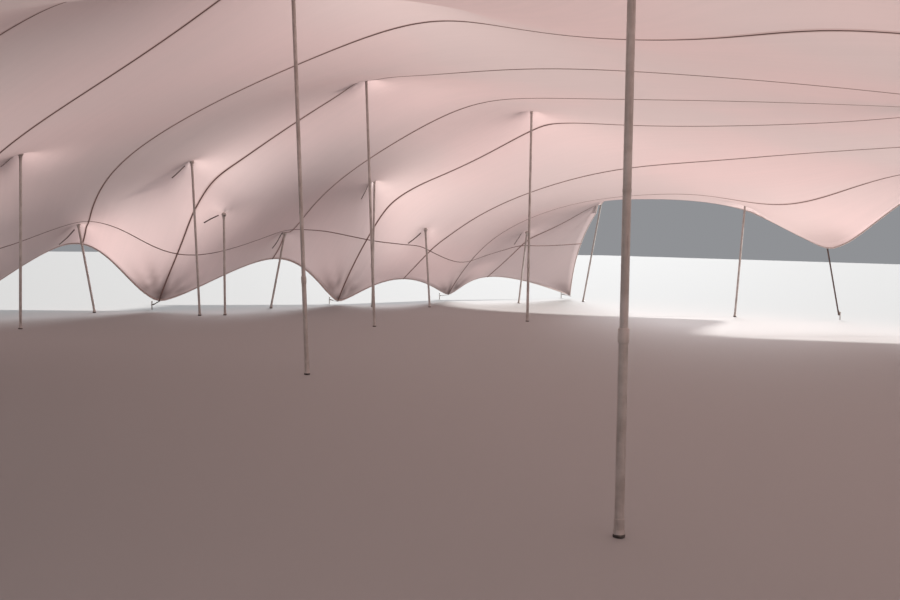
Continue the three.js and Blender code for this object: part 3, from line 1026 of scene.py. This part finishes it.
# %% [markdown]
# ## The poles
# Every pole is a tube with a rubber-soled foot and a round head that can't cut the cloth.
# The tall ones are two tubes, one pushed into the other, held by a collar with a spring
# button, and a second thin ring marks the end of the inner sleeve. Each of the 35 could be
# drawn at its own length, but one short and one tall model, drawn upright, are enough.

# %% The two model poles
pole_sides = 24
tube = 0.022
lower_tube = 0.025
sleeve_wall = 0.002
foot_height = 0.04
sole_height = 0.02
sleeve_height = 0.095
joint_height = 0.994
joint_radius = 0.029
ring_height_on_pole = 1.755
ring_radius_on_pole = 0.0235
skirt_radius = 0.027
skirt_drop = 0.075
neck_drop = 0.039
short_length = 1.0
tall_length = 3.0


def head_rings(centre):
    """The skirt and the ball of a head, about the height of its centre."""
    rings = [
        (tube, centre - skirt_drop),
        (skirt_radius, centre - skirt_drop + 0.002),
        (skirt_radius, centre - neck_drop),
    ]
    for angle in (142, 122, 104, 90, 74, 56, 38, 20, 7):
        turn = math.radians(angle)
        rings.append((head_radius * math.sin(turn), centre + head_radius * math.cos(turn)))
    return rings


def foot_rings(radius):
    """The rubber foot and the sleeve that holds it."""
    return [
        (0.030, 0), (0.032, 0.003), (0.032, 0.013), (0.030, 0.016),
        (0.030, 0.037), (0.029, foot_height),
        (radius + sleeve_wall, foot_height), (radius + sleeve_wall, sleeve_height),
        (radius, sleeve_height + 0.002),
    ]


joint_rings = [
    (lower_tube, joint_height),
    (joint_radius, joint_height + 0.003),
    (joint_radius, joint_height + 0.07),
    (joint_radius - 0.0015, joint_height + 0.075),
    (tube, joint_height + 0.076),
    (tube, ring_height_on_pole),
    (ring_radius_on_pole, ring_height_on_pole + 0.002),
    (ring_radius_on_pole, ring_height_on_pole + 0.016),
    (tube, ring_height_on_pole + 0.018),
]
short_rings = foot_rings(tube) + head_rings(short_length)
tall_rings = foot_rings(lower_tube) + joint_rings + head_rings(tall_length)
short_pole = drawn_up("short_pole", pole_sides, short_rings, metal)
tall_pole = drawn_up("tall_pole", pole_sides, tall_rings, metal)
print("model pole faces:", len(short_pole.data.polygons), len(tall_pole.data.polygons))

# %% [markdown]
# ## Button and soles
# The spring button that locks the two tubes sits on the collar of the tall pole. It is a
# small cylinder joined to it, as a boolean would gain nothing at that size. The soles are
# rubber, and so the lowest faces of both models get a second material.

# %% Button and soles
bpy.ops.object.select_all(action="DESELECT")
bpy.ops.mesh.primitive_cylinder_add(
    vertices=12, radius=0.004, depth=0.006,
    location=(0.0005 - joint_radius, 0, joint_height + 0.04), rotation=(0, math.pi / 2, 0))
button = bpy.context.object
bpy.ops.object.transform_apply(location=True, rotation=True, scale=True)
button.data.materials.append(metal.material)
button.select_set(True)
tall_pole.select_set(True)
bpy.context.view_layer.objects.active = tall_pole
bpy.ops.object.join()

for model in (short_pole, tall_pole):
    model.data.materials.append(rubber.material)
    for face in model.data.polygons:
        face.material_index = 1 if face.center.z < sole_height else 0
print("faces with the button:", len(tall_pole.data.polygons))

# %% [markdown]
# ## Putting up the poles
# Scaling a model to each length would squash its head and foot. Instead all that lies above
# the middle of its upper tube is moved up or down, and the whole is then leaned by shifting
# every point sideways by its height, so that foot and head stay level. Each copy stands for
# the plain solid of the same pole.

# %% Copies of the model poles
tall_from = 3.0
models = {"short": (short_pole, short_length, 0.5), "tall": (tall_pole, tall_length, 2.3)}
for name, (foot, head) in pole_ends.items():
    model, length, stretch_above = models["tall" if head.z >= tall_from else "short"]
    piece = copy_of(model, "detailed_" + name)
    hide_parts(name)
    points = points_of(piece.data)
    points[points[:, 2] > stretch_above, 2] += head.z - length
    share = np.clip((points[:, 2] - foot_height) / (head.z - neck_drop - foot_height), 0, 1)
    points[:, 0] += foot.x + (head.x - foot.x) * share
    points[:, 1] += foot.y + (head.y - foot.y) * share
    piece.data.vertices.foreach_set("co", points.ravel())
    piece.data.update()
for model in (short_pole, tall_pole):
    bpy.data.objects.remove(model)
print("poles made:", len(pole_ends))

# %% [markdown]
# ## Peg and ring
# At every tip a strap runs out to a peg and passes round a steel ring that hangs on it. The
# peg is drawn upwards like a pole, and the ring is a torus, which is already its finished
# shape. Both are modelled once at the origin and copied to the eighteen tips.

# %% Peg and ring
peg_height = 0.17
ring_height = 0.102
ring_radius = 0.026
ring_wire = 0.0035
peg_model = drawn_up("peg", 16, [
    (0.010, 0), (0.011, 0.002), (0.011, 0.148), (0.0155, 0.151), (0.016, 0.156), (0.016, 0.165),
    (0.013, peg_height)], metal)
bpy.ops.object.select_all(action="DESELECT")
bpy.ops.mesh.primitive_torus_add(
    major_segments=28, minor_segments=8, major_radius=ring_radius, minor_radius=ring_wire,
    location=(0, 0, 0))
ring_model = bpy.context.object
bpy.ops.object.shade_smooth()
ring_model.data.materials.append(metal.material)
print("peg and ring faces:", len(peg_model.data.polygons), len(ring_model.data.polygons))

# %% [markdown]
# ## Pulling the tips down
# The strap is sewn under the cloth, pulled taut to the ring, passed round its edge and
# folded back on itself. Webbing is soft and flat, and simulating a taut band would only
# leave it straight, so it is a strip along a line of few points.

# %% Straps, rings and pegs
pegged_reach = 0.35
open_reach = 0.5
ring_offset = 0.014
strap_width = 0.035
strap_thickness = 0.003
loop_radius = 0.007
loop_angles = (40, 90, 140)
strap_steps = 8
sewn_length = 0.02
sewn_drop = 0.006
folded_back = [(0.0, 0.0), (0.05, 0.004), (0.11, 0.0085)]


def strap_line(start, ring_edge, along, rise):
    """The strap from under the cloth, round the ring's edge and back on itself."""
    below = ring_edge - rise * loop_radius
    line = [start.lerp(below, k / strap_steps) for k in range(strap_steps + 1)]
    for angle in loop_angles:
        turn = math.radians(angle)
        line.append(ring_edge + (along * math.sin(turn) - rise * math.cos(turn)) * loop_radius)
    above = ring_edge + rise * loop_radius
    line += [above - along * back - rise * drop for back, drop in folded_back]
    return np.array([tuple(place) for place in line])


tie_downs = []
for count, (panel, run, tip, out) in enumerate(tips, start=1):
    outward = Vector((out[0], out[1], 0))
    reach = pegged_reach if out[1] == 0 else open_reach
    tip_place = Vector(tip)
    peg_place = Vector((tip[0], tip[1], 0)) + outward * reach
    ring_centre = peg_place - outward * ring_offset + Vector((0, 0, ring_height))
    tie_downs.append(copy_of(peg_model, "peg_%02d" % count, peg_place))
    tie_downs.append(copy_of(ring_model, "torus_%02d" % count, ring_centre))

    ring_edge = ring_centre - outward * ring_radius
    along = (ring_edge - tip_place).normalized()
    width = Vector((-outward.y, outward.x, 0))
    rise = along.cross(width).normalized()
    start = tip_place - along * sewn_length - rise * sewn_drop
    centre = strap_line(start, ring_edge, along, rise)
    heading_along = unit(np.gradient(centre, axis=0))
    sideways = np.broadcast_to(np.array(width), centre.shape)
    facing = unit(np.cross(heading_along, sideways))
    tie_downs.append(strip(
        "strap_%02d" % count, centre, sideways, facing, strap_width, strap_thickness,
        webbing.material))
for model in (peg_model, ring_model):
    bpy.data.objects.remove(model)
print("tie-down pieces:", len(tie_downs))

# %% [markdown]
# ## Painted shadows by the heads
# Beside the heads of the edge and side poles a short dark tab of webbing lies under the
# sheet, running out and down along the slope. It is painted shadow, standing for the short
# shadow that falls from each head. Modelled flat and shrinkwrapped it would need turning for
# every slope. A strip that is laid on the sheet like a seam follows it.

# %% Tabs of painted shadow
tab_length = 0.26
tab_width = 0.026
tab_start = 0.1
tab_steps = 7
tab_south = 0.75
tab_outward = 0.65
shadow_tabs = []
for name, (foot, head) in pole_ends.items():
    if not name.startswith(("edge_pole_west", "edge_pole_east", "side_pole")):
        continue
    side = -1 if "west" in name else 1
    away = away_from(head)
    row, column = np.unravel_index(away.argmin(), away.shape)
    place = surface[row, column]
    column_step = np.linalg.norm(surface[row, min(column + 1, columns)] - place)
    row_step = np.linalg.norm(surface[min(row + 1, rows), column] - place)
    reach = tab_start + np.linspace(0, tab_length, tab_steps)
    tab_rows = np.clip(row + reach * tab_south / row_step, 0, rows)
    tab_columns = np.clip(column + side * reach * tab_outward / column_step, 0, columns)
    # Painted shadow: a dark strip for the short shadow that falls from this head
    shadow_tabs.append(strip_under(
        "tab_" + name, tab_rows, tab_columns,
        tab_width, strap_thickness, webbing.material, tape_drop + 2 * tape_thickness))
print("tabs:", len(shadow_tabs))

# %% [markdown]
# ## The floor
# A plain pale plane, far larger than the tent, so that its edge lies near the horizon. It
# lies a little below the feet, because two faces at one height would flicker.

# %% Floor
floor_size = 160
floor_drop = 0.002
bpy.ops.object.select_all(action="DESELECT")
bpy.ops.mesh.primitive_plane_add(size=floor_size, location=(0, 0, -floor_drop))
floor = bpy.context.object
floor.name = "floor"
floor_finish = Finish("pale floor", roughness=0.9)
floor_finish.shader.inputs["Base Color"].default_value = (0.42, 0.42, 0.415, 1)
floor.data.materials.append(floor_finish.material)
print("floor:", floor_size, "m")

# %% [markdown]
# ## Light
# The cloth is seen from below with the light behind it, so the light comes from outside: a
# soft sun from the north-east, a weaker and wider one from the north-west, and an even
# surround. Area lights would have to be many metres wide to light the whole sheet evenly.

# %% Light
def add_sun(name, comes_from, energy, angle, tint):
    """A far light, with the direction that it comes from and its width in degrees."""
    data = bpy.data.lights.new(name, "SUN")
    data.energy = energy
    data.angle = math.radians(angle)
    data.color = tint
    light = bpy.data.objects.new(name, data)
    light.rotation_euler = Vector(comes_from).to_track_quat("Z", "Y").to_euler()
    bpy.context.scene.collection.objects.link(light)


add_sun("sun", (0.45, 0.9, 0.62), 5.5, 4, (1.0, 0.97, 0.94))
add_sun("western_fill", (-0.75, 0.7, 0.35), 3.0, 22, (0.95, 0.97, 1.0))

bpy.context.scene.view_settings.view_transform = "Standard"
world = bpy.data.worlds.new("studio")
bpy.context.scene.world = world
world.use_nodes = True
surround = world.node_tree.nodes["Background"]
surround.inputs["Color"].default_value = (0.93, 0.95, 1.0, 1)
surround.inputs["Strength"].default_value = 0.3
print("lights:", [light.name for light in bpy.data.lights])
